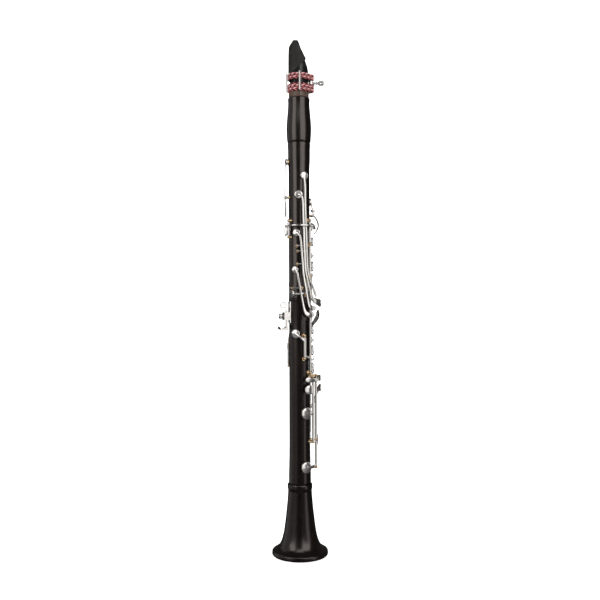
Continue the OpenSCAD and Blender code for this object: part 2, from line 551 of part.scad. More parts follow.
module e_key() color(silver) {
    hinged(e_line, 110.5 + ball_r + gap, 146 - ball_r - gap) {
        cup(e_hole, big_open, big_pad_t);
        bar([[-4, 21.6, 116, 4, 1.5], [-16, 21.6, 115.4, 3.4, 1.5], [-34, 20, 114.4, 3.2, 1.4],
             [-52, 17.9, 113.4, 3.4, 1.3], [-69, 17.1, 113, 5, 1.2]]);
        bar([[-4, 21.6, 140, 3, 1.4], [3, 23.9, 141, 3, 1.3], [3.2, 24.2, 146, 3, 1.3],
             [3, 23.9, 151, 3, 1.3], [-4, 21.6, 152, 3, 1.4]]);
    }
    hinged(e_line, 146 + ball_r + gap, 228.5 - ball_r - gap) {
        bar([[-4, 21.8, 222.5, 4, 1.4], [-16, 23.6, 223.2, 3.4, 1.4], [-34, 24, 223.6, 3.6, 1.4],
             [-52, 22.6, 224, 5, 1.4], [-66, 21.6, 224.2, 7, 1.4], [-77, 21.1, 224.2, 5.6, 1.4],
             [-81, 20.9, 224.2, 3, 1.2]]);
    }
}
module e_pad() color(skin) pad(e_hole, big_open, big_pad_t);

module a_flat_key() color(silver) hinged(a_flat_line, 192 + ball_r + gap, 228.5 - ball_r - gap) {
    cup(a_flat_hole, big_shut, big_pad_t);
    pad(a_flat_hole, big_shut, big_pad_t);
    bar([[34, 19, 207, 3.6, 1.5], [46, 18.6, 207, 3.2, 1.4], [58, 17, 207, 3.2, 1.3],
         [72, 15.5, 207, 4, 1.1]]);
    bar([[34, 19.2, 223.5, 4, 1.5], [28, 22, 224, 4.6, 1.5], [19, 25.4, 224.4, 6.6, 1.5],
         [9, 27, 224.6, 8, 1.5], [0, 27.3, 224.6, 7.4, 1.5], [-6, 27.2, 224.6, 4, 1.3]]);
}

module f_sharp_key() color(silver) hinged(a_flat_line, 156 + ball_r + gap, 192 - ball_r - gap) {
    cup(f_sharp_hole, big_shut, big_pad_t);
    pad(f_sharp_hole, big_shut, big_pad_t);
    bar([[34, 19, 172, 3.6, 1.5], [46, 18.6, 172, 3.2, 1.4], [58, 17, 172, 3.2, 1.3],
         [72, 15.5, 172, 4, 1.1]]);
    bar([[34, 19.4, 186, 4, 1.5], [27, 22, 190, 3.6, 1.5], [22, 24.6, 199, 3.6, 1.5],
         [17, 26.2, 207, 5, 1.5], [9, 27.3, 211.5, 9, 1.5], [0, 27.6, 212.5, 9.5, 1.5],
         [-6, 27.4, 212.5, 5, 1.3]]);
}

// a lever for the left little finger: its tube stands at angle a, its touch plate at angle t
module left_lever(a, t, r_touch) hinged([a, 18], 240 + ball_r + gap, 268 - ball_r - gap) {
    bar([[a, 18.2, 257.5, 3.4, 1.5], [a - 3, 19.6, 261.5, 3, 1.5], [a - 7, 21.1, 266, 3, 1.5],
         [a - 12, 21.6, 275, 3, 1.5],
         [(a * 0.6 + t * 0.4), 23, 284, 3.4, 1.5], [(a * 0.25 + t * 0.75), r_touch - 2, 294, 5, 1.5],
         [t, r_touch, 303, 7.6, 1.5], [t - 2, r_touch + 0.4, 309, 7, 1.4],
             [t - 3, r_touch + 0.4, 312, 3.4, 1.2]]);
    bar([[a, 18.2, 248, 3.4, 1.5], [a - 9, 19.4, 246.5, 3, 1.4], [a - 14, 20, 241, 2.8, 1.4],
         [a - 14.5, 20, 235, 2.8, 1.4], [a - 14.5, 19.8, 233, 2, 1.2]]);
}
module left_e_lever() color(silver) left_lever(78, 22, 28);
module left_f_sharp_lever() color(silver) left_lever(104, 48, 27.4);
module left_f_lever() color(silver) left_lever(130, 74, 26.6);

// ---- thumb rest ---------------------------------------------------------------------------------
rest_z = 304.5;             // middle of the thumb rest's guide block
stem_w = 5.6;               // width of the hook's stem
ring_r = 4.25;              // outside radius of the strap ring
ring_bore = 2.9;            // inside radius of the strap ring
strap_x = -20.9;
strap_z = 318.4;

// local +Z points to the player's thumb, away from the body's back
module behind(x, y, z) translate([x, y, z]) rotate([0, -90, 0]) children();

module thumb_rest_plate() color(silver) difference() {
    union() {
        intersection() {
            sleeve(14.4, low_r + 0.16, 296, 323);
            translate([-20, -5.4, 296]) cube([20, 10.8, 27]);
        }
        intersection() {
            translate([-21.4, -6.6, rest_z - 4.9]) cube([8.4, 13.2, 9.8]);
            difference() {
                translate([-14, 0, rest_z - 5]) cylinder(r = 9.4, h = 10);
                translate([0, 0, rest_z - 6]) cylinder(r = low_r + 0.16, h = 12);
            }
        }
    }
    translate([-17.9, -stem_w / 2 - 0.15, 290]) cube([2.5, stem_w + 0.3, 40]);
    behind(-16, 0, rest_z) cylinder(r = 1.5, h = 12);
    for (y = [-4.6, 4.6]) behind(-12, y, rest_z) cylinder(r = 1, h = 14);
    for (y = [-4.6, 4.6]) behind(-20.1, y, rest_z) cylinder(r = 1.6, h = 4);
}

module thumb_rest_screws() color(steel) for (y = [-4.6, 4.6]) behind(-13, y, rest_z) difference() {
    union() {
        cylinder(r = 0.95, h = 7.5);
        translate([0, 0, 7.1]) cylinder(r = 1.55, h = 1);
    }
    translate([-2, -0.2, 7.6]) cube([4, 0.4, 1]);
}

module thumb_rest_knob() color(silver) behind(-18.1, 0, rest_z) difference() {
    union() {
        cylinder(r = 1.45, h = 5);
        translate([0, 0, 4]) rotate_extrude()
            polygon([[0, 0], [2.2, 0], [3.3, 0.9], [3.6, 1.6], [3.6, 3.8], [3.1, 4.5], [0, 4.7]]);
    }
    for (k = [0 : 30 : 330]) rotate([0, 0, k]) translate([3.9, 0, 5.2]) cylinder(r = 0.55, h = 6, $fn = 24);
}

module thumb_rest_hook() color(silver) {
    translate([-17.75, -stem_w / 2, 289]) cube([2.2, stem_w, 23]);
    intersection() {
        rotate([90, 0, 0]) linear_extrude(13, center = true)
            polygon(concat([[-15.55, 286.8], [-15.55, 291.2], [-16.5, 291.2]],
                           smooth([[-17.75, 290.6], [-21, 289.2], [-25, 289.6], [-27.6, 291.6]], 4),
                           smooth([[-28.3, 290.8], [-27, 288], [-23.5, 286.6], [-19, 286.5]], 4)));
        translate([-19, 0, 280]) cylinder(r = 9.4, h = 20);
    }
}

module strap_ring() color(silver) {
    translate([strap_x, 0, strap_z]) rotate([90, 0, 0]) rotate_extrude()
        polygon([[ring_bore, -0.6], [ring_bore + 0.4, -0.95], [ring_r - 0.4, -0.95], [ring_r, -0.5],
                 [ring_r, 0.5], [ring_r - 0.4, 0.95], [ring_bore + 0.4, 0.95], [ring_bore, 0.6]]);
    difference() {
        translate([-17.2, -0.9, strap_z - 2.2]) cube([4, 1.8, 4.4]);
        translate([0, 0, strap_z - 4]) cylinder(r = 14.42, h = 8, $fn = 96);
    }
}

// ---- barrel, mouthpiece, cap and ligature -------------------------------------------------------
barrel_gap = 0.1;           // between the barrel and the upper joint
module barrel() color(wood) turned(concat(
    [[socket_r, upper_top + barrel_gap], [14.2, upper_top + barrel_gap]],
    smooth([[14.75, upper_top + 0.8], [15.15, 529], [15.5, 534], [15.72, 539], [15.78, 544], [15.62, 549.5],
            [15.22, 555], [14.7, 561], [14.2, 567], [13.85, 573], [13.7, 578]], 3),
    [[13.9, 578.6], [13.9, barrel_top - 1], [13.1, barrel_top - 0.1], [12.9, barrel_top],
     [socket_r, barrel_top],
     [socket_r, barrel_top - tenon_len - 0.3], [bore_r, barrel_top - tenon_len - 0.3],
     [bore_r, upper_top + tenon_len + 0.4], [socket_r, upper_top + tenon_len + 0.4]]));

mouth_r = 12.3;             // radius of the mouthpiece
band_r = 12.85;             // radius of the thicker band at its foot
band_top = 590.2;
table = -10.1;              // the flat that a reed lies on, behind the axis
tip_z = cap_top - 4.4;      // height of the mouthpiece tip
cap_wall = 0.85;
cap_fit = 0.2;              // between the cap and the mouthpiece
rim_low = 613.5;            // lowest part of the cap's slanting rim
rim_rise = 623.6;           // height of the slanting rim beside the axis

// the path p moved to its right-hand side by d
function shifted(p, d) = [for (i = [0 : len(p) - 1]) let (t = unit(pick(p, i + 1) - pick(p, i - 1)))
                              p[i] + d * [t[1], -t[0]]];
// an outline from the points of its right half, which end on the middle line
function mirrored(half) = concat(half, [for (i = [len(half) - 2 : -1 : 0]) [-half[i][0], half[i][1]]]);

beak = smooth([[mouth_r, 611], [11.8, 614.8], [10.6, 618.6], [9, 622.6], [7.1, 626.8], [5.1, 631],
               [2.9, 635.2], [0.6, 639.4], [-1.9, 643.6], [-4.6, 648], [-7.4, tip_z]], 2);
cheek = concat(smooth([[mouth_r + 0.2, 609], [mouth_r, 618], [11.3, 626.5], [9.5, 636], [7.6, 646],
                       [6.9, 649.4]], 2),
               smooth([[6.3, 650.8], [3.8, tip_z - 0.4], [0, tip_z]], 2));
cap_side = concat(smooth([[13.4, 609], [12.9, 614.5], [11.8, 618.5], [9.8, 624], [7.6, 629.8], [5, 635.8],
                          [2.6, 641], [0.6, 646], [-0.9, 651.2], [-2.2, 655.2]], 2),
                  smooth([[-3.2, cap_top - 0.5], [-4.6, cap_top], [-6.3, cap_top - 0.5], [-8.4, 655.1],
                          [-10.4, 652.4], [-11.8, 648.6], [-12.3, 643], [-12.7, 636], [-13.1, 628],
                          [-13.4, 618], [-13.4, 609]], 2));
cap_cheek = concat(smooth([[13.6, 609], [13.4, 618], [12.4, 626.5], [10.6, 636], [8.7, 646],
                           [7.7, 651.2]], 2),
                   smooth([[6.6, 654.6], [4.2, 656.3], [0, cap_top]], 2));

module mouthpiece() color(ebonite) difference() {
    union() {
        intersection() {
            translate([0, 0, barrel_top]) cylinder(r = mouth_r, h = tip_z - barrel_top, $fn = 96);
            rotate([90, 0, 0]) linear_extrude(40, center = true)
                polygon(concat([[20, barrel_top], [20, 608]], beak,
                               [[-8.9, tip_z], [-9.6, 647], [table, 638], [table, barrel_top]]));
            rotate([90, 0, 90]) linear_extrude(40, center = true)
                polygon(concat([[20, barrel_top], [20, 606]], mirrored(cheek), [[-20, 606],
                    [-20, barrel_top]]));
        }
        turned([[0, barrel_top], [band_r - 0.3, barrel_top], [band_r, barrel_top + 0.4],
                [band_r, band_top - 0.6], [band_r - 0.4, band_top], [0, band_top]]);
        translate([0, 0, barrel_top - tenon_len]) cylinder(r = tenon_r, h = tenon_len + 0.5, $fn = 96);
    }
    translate([0, 0, barrel_top - tenon_len - 1]) cylinder(r = bore_r, h = 46);
    // window through the table into the bore
    translate([table - 1, -4.6, 604]) cube([7, 9.2, 44]);
}

module mouthpiece_cork() color(cork)
    sleeve(cork_r, tenon_r, barrel_top - tenon_len + 2, barrel_top - 3);

// the cap's form above its rim, with its walls moved in by inset
module cap_form(inset) intersection() {
    translate([0, 0, 605]) cylinder(r = mouth_r + cap_fit + cap_wall - inset, h = 60, $fn = 96);
    rotate([90, 0, 0]) linear_extrude(40, center = true) polygon(shifted(cap_side, -inset));
    rotate([90, 0, 90]) linear_extrude(40, center = true) polygon(shifted(mirrored(cap_cheek), -inset));
}
module mouthpiece_cap() color(ebonite) difference() {
    cap_form(0);
    cap_form(cap_wall);
    rotate([90, 0, 0]) linear_extrude(40, center = true)
        polygon([[-20, 600], [-20, rim_low], [rim_low - rim_rise, rim_low], [20, rim_rise + 20],
                 [20, 600]]);
}

cord_r = 0.98;              // radius of the ligature's cord
cord_pitch = 1.97;          // height from one turn of cord to the next
turn_r = mouth_r + 0.05 + cord_r;       // radius of the turns round the mouthpiece
yoke_a = -12;               // direction of the yoke and its screw
yoke_r = 2.4;
yoke_out = 15.2;            // distance of the yoke from the axis
bend_r = yoke_r + 0.12 + cord_r;        // radius of the turns round the yoke
screw_z = 602.1;

// one turn of cord round the mouthpiece and the yoke, as [x, y, direction that faces outwards]
function cord_turn() =
    let (lean = acos((turn_r - bend_r) / yoke_out), far = 360 - lean)
    concat([for (k = [0 : 24]) let (a = yoke_a + lean + (far - lean) * k / 24)
                [turn_r * cos(a), turn_r * sin(a), a]],
           [for (k = [0 : 6]) let (a = yoke_a - lean + 2 * lean * k / 6)
                [yoke_out * cos(yoke_a) + bend_r * cos(a), yoke_out * sin(yoke_a) + bend_r * sin(a), a]]);

module strand(z) {
    p = cord_turn();
    n = len(p);
    m = 8;
    points = [for (q = p) for (j = [0 : m - 1])
                  let (out = cord_r * cos(360 * j / m))
                  [q[0] + out * cos(q[2]), q[1] + out * sin(q[2]), z + cord_r * sin(360 * j / m)]];
    polyhedron(points, [for (i = [0 : n - 1]) for (j = [0 : m - 1])
                            [i * m + j, i * m + (j + 1) % m, (i + 1) % n * m + (j + 1) % m,
                             (i + 1) % n * m + j]],
               convexity = 4);
}
module ligature_upper_band() color(cord) for (k = [0 : 3]) strand(606.3 + k * cord_pitch);
module ligature_lower_band() color(cord) for (k = [0 : 4]) strand(591.3 + k * cord_pitch);

lig_out = turn_r + cord_r + 0.05;
module ligature_bars() color(silver) for (a = [-98, 62, 112, 172]) rotate([0, 0, a])
    translate([lig_out + 1.05, 0, 590.2]) difference() {
        union() {
            cylinder(r = 1.05, h = 23.6);
            translate([0, 0, 23.6]) sphere(r = 1.15);
        }
        translate([0, 0, 24]) rotate([0, 90, 0]) cylinder(r = 0.45, h = 4, center = true);
    }

// the post inside the bend of the cords, with the boss that the screw turns in
module ligature_frame() color(silver) difference() {
    union() {
        rotate([0, 0, yoke_a]) translate([yoke_out, 0, band_top + 0.3]) cylinder(r = yoke_r, h = 23);
        at(yoke_a, yoke_out, screw_z) cylinder(r = 1.85, h = 4.6);
    }
    at(yoke_a, yoke_out - 1.4, screw_z) cylinder(r = 1.6, h = 20);
}

module ligature_screw() color(silver) at(yoke_a, 0, screw_z) difference() {
    union() {
        translate([0, 0, yoke_out - 1.1]) cylinder(r = 1.45, h = 12);
        translate([0, 0, 22.4]) cylinder(r = 2.7, h = 0.8);
        translate([0, 0, 25]) rotate_extrude() polygon([[0, 0], [2.3, 0], [3, 0.6], [3, 6.4],
                                                        [2.4, 7.2], [0, 7.2]]);
    }
    translate([0, 0, 28.4]) rotate([90, 0, 0]) cylinder(r = 1.3, h = 8, center = true);
    for (k = [0 : 30 : 330]) rotate([0, 0, k]) translate([3.3, 0, 26.2]) cylinder(r = 0.5, h = 5, $fn = 24);
}

upper_joint();
lower_joint();
bell();
upper_top_cork();
upper_bottom_cork();
lower_bottom_cork();
register_vent();
thumb_tube();
upper_posts();
upper_rods();
upper_springs();
lower_posts();
lower_rods();
lower_springs();
thumb_rest_plate();
thumb_rest_screws();
thumb_rest_hook();
thumb_rest_knob();
strap_ring();
barrel();
mouthpiece();
mouthpiece_cork();
mouthpiece_cap();
ligature_upper_band();
ligature_lower_band();
ligature_bars();
ligature_frame();
ligature_screw();
register_key();
thumb_ring_key();
throat_a_key();
throat_g_sharp_key();
side_key_1();
side_key_2();
side_key_3();
side_key_4();
index_ring_key();
middle_ring_key();
e_flat_sliver_key();
c_sharp_key();
lower_ring_key();
b_sliver_key();
f_key();
e_key();
a_flat_key();
f_sharp_key();
left_e_lever();
left_f_sharp_lever();
left_f_lever();
register_pad();
throat_a_pad();
side_pad_1();
side_pad_2();
side_pad_3();
side_pad_4();
e_flat_pad();
b_pad();
f_pad();
e_pad();
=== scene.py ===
import math

import bpy
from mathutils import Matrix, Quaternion, Vector


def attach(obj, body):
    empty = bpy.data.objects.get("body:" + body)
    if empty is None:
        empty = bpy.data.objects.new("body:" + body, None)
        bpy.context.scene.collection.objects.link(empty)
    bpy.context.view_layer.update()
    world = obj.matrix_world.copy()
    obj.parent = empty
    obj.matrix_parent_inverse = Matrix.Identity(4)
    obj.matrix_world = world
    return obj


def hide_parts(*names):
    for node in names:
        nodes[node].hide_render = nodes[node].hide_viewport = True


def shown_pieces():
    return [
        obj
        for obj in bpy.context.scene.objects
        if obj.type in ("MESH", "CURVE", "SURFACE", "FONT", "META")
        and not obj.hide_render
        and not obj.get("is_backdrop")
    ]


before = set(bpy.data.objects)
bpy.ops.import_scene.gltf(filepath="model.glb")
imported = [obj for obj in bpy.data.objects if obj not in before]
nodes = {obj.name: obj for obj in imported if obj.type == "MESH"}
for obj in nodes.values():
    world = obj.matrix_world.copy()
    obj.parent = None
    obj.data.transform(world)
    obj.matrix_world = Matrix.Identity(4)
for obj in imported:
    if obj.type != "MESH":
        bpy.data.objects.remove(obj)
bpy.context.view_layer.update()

MM = 0.001
BAND_TOP = 590.2 * MM       # top of the scuffed band at the foot of the mouthpiece
SHARP_ANGLE = 38            # faces that meet at more degrees than this keep a sharp edge
WELD_GAP = 1e-6

# ---- which finish each CAD node has --------------------------------------------------------------
WOOD = ["upper_joint", "lower_joint", "bell", "barrel"]
CORKS = ["upper_top_cork", "upper_bottom_cork", "lower_bottom_cork", "mouthpiece_cork"]
GOLD = ["register_vent", "upper_posts", "lower_posts"]
STEEL = ["upper_rods", "lower_rods", "upper_springs", "lower_springs", "thumb_rest_screws"]


# ---- small tools for materials -------------------------------------------------------------------
class Paint:
    """A node material with a Principled shader, and short calls that add nodes to it."""

    def __init__(self, name, colour, roughness, metallic=0.0, specular=0.5, coat=0.0, coat_roughness=0.1):
        self.material = bpy.data.materials.new(name)
        self.material.use_nodes = True
        self.tree = self.material.node_tree
        self.shader = self.tree.nodes["Principled BSDF"]
        self.shader.inputs["Base Color"].default_value = (*colour, 1)
        self.shader.inputs["Roughness"].default_value = roughness
        self.shader.inputs["Metallic"].default_value = metallic
        self.shader.inputs["Specular IOR Level"].default_value = specular
        self.shader.inputs["Coat Weight"].default_value = coat
        self.shader.inputs["Coat Roughness"].default_value = coat_roughness

    def node(self, kind, **settings):
        made = self.tree.nodes.new(kind)
        for key, value in settings.items():
            setattr(made, key, value)
        return made

    def link(self, output, to):
        self.tree.links.new(output, to)

    def place(self, scale=(1, 1, 1)):
        """The point on the object, in metres of its own frame, scaled."""
        mapping = self.node("ShaderNodeMapping")
        mapping.inputs["Scale"].default_value = scale
        self.link(self.node("ShaderNodeTexCoord").outputs["Object"], mapping.inputs["Vector"])
        return mapping.outputs["Vector"]

    def noise(self, scale, stretch=(1, 1, 1), detail=4.0, rough=0.6):
        noise = self.node("ShaderNodeTexNoise")
        noise.inputs["Scale"].default_value = scale
        noise.inputs["Detail"].default_value = detail
        noise.inputs["Roughness"].default_value = rough
        self.link(self.place(stretch), noise.inputs["Vector"])
        return noise.outputs["Fac"]

    def spread(self, value, low, high, start=0.3, end=0.7):
        """value from start to end becomes a number from low to high."""
        ranged = self.node("ShaderNodeMapRange")
        for key, number in zip(("From Min", "From Max", "To Min", "To Max"), (start, end, low, high)):
            ranged.inputs[key].default_value = number
        self.link(value, ranged.inputs["Value"])
        return ranged.outputs["Result"]

    def colours(self, value, stops):
        """A colour ramp through stops, as (place, colour)."""
        ramp = self.node("ShaderNodeValToRGB")
        elements = ramp.color_ramp.elements
        while len(elements) < len(stops):
            elements.new(0.5)
        for element, (place, colour) in zip(elements, stops):
            element.position = place
            element.color = (*colour, 1)
        self.link(value, ramp.inputs["Fac"])
        return ramp.outputs["Color"]

    def colour(self, output):
        self.link(output, self.shader.inputs["Base Color"])

    def roughness(self, output):
        self.link(output, self.shader.inputs["Roughness"])

    def bumps(self, *layers):
        """Bumps, each as (height, depth in millimetres)."""
        last = None
        for height, depth in layers:
            bump = self.node("ShaderNodeBump")
            bump.inputs["Distance"].default_value = depth * MM
            self.link(height, bump.inputs["Height"])
            if last is not None:
                self.link(last, bump.inputs["Normal"])
            last = bump.outputs["Normal"]
        self.link(last, self.shader.inputs["Normal"])


# ---- materials -----------------------------------------------------------------------------------
def grenadilla():
    """Black oiled wood: fine pores and streaks that run along the bore, and a satin sheen."""
    paint = Paint("grenadilla", (0.004, 0.003, 0.0026), 0.25, specular=0.25)
    paint.shader.inputs["Specular Tint"].default_value = (1.0, 0.88, 0.83, 1)
    streaks = paint.noise(900, (1, 1, 0.03), detail=6)
    clouds = paint.noise(60, (1, 1, 0.25))
    mix = paint.node("ShaderNodeMath", operation="MULTIPLY")
    paint.link(streaks, mix.inputs[0])
    paint.link(clouds, mix.inputs[1])
    paint.colour(paint.colours(mix.outputs[0], [(0.12, (0.0008, 0.0006, 0.0005)),
                                                (0.28, (0.0016, 0.001, 0.0008)),
                                                (0.45, (0.0045, 0.0026, 0.002))]))
    paint.roughness(paint.spread(streaks, 0.18, 0.27))
    paint.bumps((streaks, 0.008))
    return paint.material


def ebonite():
    """Black hard rubber with faint turning marks, scuffed brown on the band at its foot."""
    paint = Paint("ebonite", (0.004, 0.004, 0.0045), 0.3, specular=0.25)
    cloud = paint.noise(220)
    turning = paint.noise(2500, (0.05, 0.05, 1), detail=2)
    black = paint.colours(cloud, [(0.3, (0.002, 0.002, 0.0022)), (0.7, (0.005, 0.0047, 0.005))])
    brown = paint.colours(paint.noise(500), [(0.3, (0.035, 0.021, 0.016)), (0.7, (0.085, 0.058, 0.046))])
    height = paint.node("ShaderNodeSeparateXYZ")
    paint.link(paint.place(), height.inputs["Vector"])
    above = paint.spread(height.outputs["Z"], 0, 1, BAND_TOP - 0.5 * MM, BAND_TOP + 0.2 * MM)
    mix = paint.node("ShaderNodeMix", data_type="RGBA")
    paint.link(above, mix.inputs["Factor"])
    paint.link(brown, mix.inputs["A"])
    paint.link(black, mix.inputs["B"])
    paint.colour(mix.outputs["Result"])
    paint.roughness(paint.spread(cloud, 0.18, 0.26))
    paint.bumps((turning, 0.01))
    return paint.material


def moulded():
    """Dull charcoal plastic with a fine grain."""
    paint = Paint("matte_plastic", (0.02, 0.019, 0.018), 0.7, specular=0.12)
    cloud = paint.noise(130)
    grain = paint.noise(4200, detail=2)
    paint.colour(paint.colours(cloud, [(0.3, (0.010, 0.0095, 0.009)), (0.7, (0.017, 0.016, 0.015))]))
    paint.roughness(paint.spread(grain, 0.6, 0.78))
    paint.bumps((grain, 0.02))
    return paint.material


def cork():
    paint = Paint("cork", (0.5, 0.32, 0.18), 0.9, specular=0.2)
    grain = paint.noise(900)
    paint.colour(paint.colours(grain, [(0.3, (0.20, 0.11, 0.05)), (0.45, (0.48, 0.31, 0.17)),
                                       (0.7, (0.60, 0.42, 0.25))]))
    paint.bumps((grain, 0.15))
    return paint.material


def plated(name, bright, dull, smooth, rough):
    """Polished plate: a colour that shifts a little, and buffing marks that change the gloss."""
    paint = Paint(name, bright, smooth, metallic=1.0)
    tarnish = paint.noise(140, detail=5)
    buffing = paint.noise(1800, (1, 1, 0.15), detail=3)
    paint.colour(paint.colours(tarnish, [(0.35, bright), (0.75, dull)]))
    paint.roughness(paint.spread(buffing, smooth, rough))
    paint.bumps((buffing, 0.004))
    return paint.material


def pad_skin():
    """Fine pale skin over felt."""
    paint = Paint("pad_skin", (0.75, 0.66, 0.52), 0.6, specular=0.35)
    mottle = paint.noise(700)
    wrinkles = paint.noise(2600, detail=6)
    paint.colour(paint.colours(mottle, [(0.3, (0.62, 0.52, 0.38)), (0.7, (0.80, 0.72, 0.58))]))
    paint.roughness(paint.spread(wrinkles, 0.5, 0.75))
    paint.bumps((wrinkles, 0.05))
    return paint.material


def braid(name, colour, pale):
    """Yarn of one colour, with fibres and small changes of shade."""
    paint = Paint(name, colour, 0.75, specular=0.25)
    fibres = paint.noise(5200, detail=3)
    shade = paint.noise(600)
    paint.colour(paint.colours(shade, [(0.3, colour), (0.75, pale)]))
    paint.roughness(paint.spread(fibres, 0.65, 0.9))
    paint.bumps((fibres, 0.06))
    return paint.material


def studio_paper():
    """White paper, lit from behind so that no shadow shows."""
    paint = Paint("studio_paper", (0.93, 0.93, 0.93), 0.85, specular=0.1)
    fleck = paint.noise(40)
    paint.colour(paint.colours(fleck, [(0.3, (0.925, 0.925, 0.925)), (0.7, (0.94, 0.94, 0.94))]))
    paint.shader.inputs["Emission Color"].default_value = (1, 1, 1, 1)
    paint.shader.inputs["Emission Strength"].default_value = 0.67
    return paint.material


silver = plated("silver_plate", (0.95, 0.91, 0.87), (0.84, 0.80, 0.75), 0.06, 0.15)
gold = plated("gold_plate", (0.96, 0.74, 0.47), (0.86, 0.60, 0.34), 0.12, 0.24)
steel = plated("blued_steel", (0.56, 0.56, 0.58), (0.42, 0.42, 0.45), 0.18, 0.32)
wood = grenadilla()
rubber = ebonite()
cork_skin = cork()
charcoal = moulded()
skin = pad_skin()


# ---- CAD nodes: material and smooth faces --------------------------------------------------------
def dress(node, material):
    """Gives a CAD node its material and smooth faces, with its sharp edges kept sharp."""
    obj = nodes[node]
    obj.data.materials.clear()
    obj.data.materials.append(material)
    with bpy.context.temp_override(object=obj, active_object=obj, selected_objects=[obj]):
        if obj.data.has_custom_normals:
            bpy.ops.mesh.customdata_custom_splitnormals_clear()
    weld = obj.modifiers.new("weld", "WELD")
    weld.merge_threshold = WELD_GAP
    for polygon in obj.data.polygons:
        polygon.use_smooth = True
    sharp = obj.modifiers.new("smooth", "EDGE_SPLIT")
    sharp.split_angle = math.radians(SHARP_ANGLE)
    sharp.use_edge_sharp = False


def finish_of(node):
    """The material of a CAD node, and the name of its slot."""
    if node in WOOD:
        return wood, "grenadilla"
    if node in CORKS:
        return cork_skin, "cork"
    if node in GOLD:
        return gold, "gold_plate"
    if node in STEEL:
        return steel, "steel"
    if node == "mouthpiece":
        return rubber, "ebonite"
    if node == "mouthpiece_cap":
        return charcoal, "matte_plastic"
    if node.endswith("_pad") or node.startswith("side_pad"):
        return skin, "pad_skin"
    return silver, "silver_plate"


for node in sorted(nodes):
    material, slot = finish_of(node)
    dress(node, material)


# ---- the ligature's braided cords ----------------------------------------------------------------
TURN_R = 13.33 * MM         # radius of the cord's turns round the mouthpiece
BEND_R = 3.5 * MM           # radius of the turns round the ligature's post
POST_OUT = 15.2 * MM        # distance of that post from the axis
POST_ANGLE = math.radians(-12)
LEAN = math.acos((TURN_R - BEND_R) / POST_OUT)
TURN_PITCH = 1.97 * MM
YARNS = 3                   # in one cord
YARN_R = 0.54 * MM
YARN_OUT = 0.46 * MM        # distance of a yarn from the middle of its cord
YARN_SIDES = 8
YARN_RINGS = 210            # along one turn
TWISTS = 14                 # of the yarns along one turn
TURN_SHIFT = 0.2            # how far the yarns are turned from one turn to the next, as a share
UPPER_BAND = 606.3 * MM     # height of the lowest turn of the upper band
LOWER_BAND = 591.3 * MM


def turn_point(share):
    """A place on the turn, share of the way round it: (x, y, direction that faces outwards)."""
    straight = POST_OUT * math.sin(LEAN)
    round_body = TURN_R * (2 * math.pi - 2 * LEAN)
    round_post = BEND_R * 2 * LEAN
    along = share % 1 * (round_body + round_post + 2 * straight)
    post = Vector((POST_OUT * math.cos(POST_ANGLE), POST_OUT * math.sin(POST_ANGLE)))
    if along < round_body:
        a = POST_ANGLE + LEAN + along / TURN_R
        return TURN_R * math.cos(a), TURN_R * math.sin(a), a
    along -= round_body
    if along < straight:
        a = POST_ANGLE - LEAN
        return (TURN_R * math.cos(a) - along * math.sin(a), TURN_R * math.sin(a) + along * math.cos(a), a)
    along -= straight
    if along < round_post:
        a = POST_ANGLE - LEAN + along / BEND_R
        return post.x + BEND_R * math.cos(a), post.y + BEND_R * math.sin(a), a
    along -= round_post
    a = POST_ANGLE + LEAN
    return (post.x + BEND_R * math.cos(a) - along * math.sin(a),
            post.y + BEND_R * math.sin(a) + along * math.cos(a), a)


def yarn_ring(share, height, phase, twists):
    """The ring of points round one yarn of the cord, share of the way round the turn."""
    x, y, facing = turn_point(share)
    turn = 2 * math.pi * (twists * share + phase)
    out = YARN_OUT * math.cos(turn)
    up = YARN_OUT * math.sin(turn)
    ring = []
    for k in range(YARN_SIDES):
        a = 2 * math.pi * k / YARN_SIDES
        reach = out + YARN_R * math.cos(a)
        ring.append((x + reach * math.cos(facing), y + reach * math.sin(facing),
                     height + up + YARN_R * math.sin(a)))
    return ring


def braided_band(node, lowest, turns, yarns):
    """Turns of three-yarn cord, one above another, that stand for a band of the ligature.
    The third yarn of every other turn has the fourth colour."""
    points, faces, colours = [], [], []
    for turn in range(turns):
        twists = TWISTS if turn % 2 else -TWISTS
        for yarn in range(YARNS):
            first = len(points)
            for i in range(YARN_RINGS):
                points += yarn_ring(i / YARN_RINGS, lowest + turn * TURN_PITCH,
                                    yarn / YARNS + TURN_SHIFT * turn, twists)
            for i in range(YARN_RINGS):
                here = first + i * YARN_SIDES
                beyond = first + (i + 1) % YARN_RINGS * YARN_SIDES
                for k in range(YARN_SIDES):
                    beside = (k + 1) % YARN_SIDES
                    faces.append((here + k, here + beside, beyond + beside, beyond + k))
                    colours.append(YARNS if yarn == YARNS - 1 and turn % 2 else yarn)
    mesh = bpy.data.meshes.new(node + "_braid")
    mesh.from_pydata(points, [], faces)
    for material in yarns:
        mesh.materials.append(material)
    for polygon, colour in zip(mesh.polygons, colours):
        polygon.use_smooth = True
        polygon.material_index = colour
    obj = bpy.data.objects.new(node + "_braid", mesh)
    bpy.context.scene.collection.objects.link(obj)
    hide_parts(node)
    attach(obj, "barrel")


yarns = [braid("yarn_crimson", (0.07, 0.005, 0.006), (0.12, 0.014, 0.014)),
         braid("yarn_pink", (0.30, 0.075, 0.08), (0.45, 0.16, 0.16)),
         braid("yarn_wine", (0.022, 0.002, 0.003), (0.05, 0.006, 0.007)),
         braid("yarn_white", (0.48, 0.30, 0.30), (0.66, 0.50, 0.50))]
braided_band("ligature_upper_band", UPPER_BAND, 4, yarns)
braided_band("ligature_lower_band", LOWER_BAND, 5, yarns)


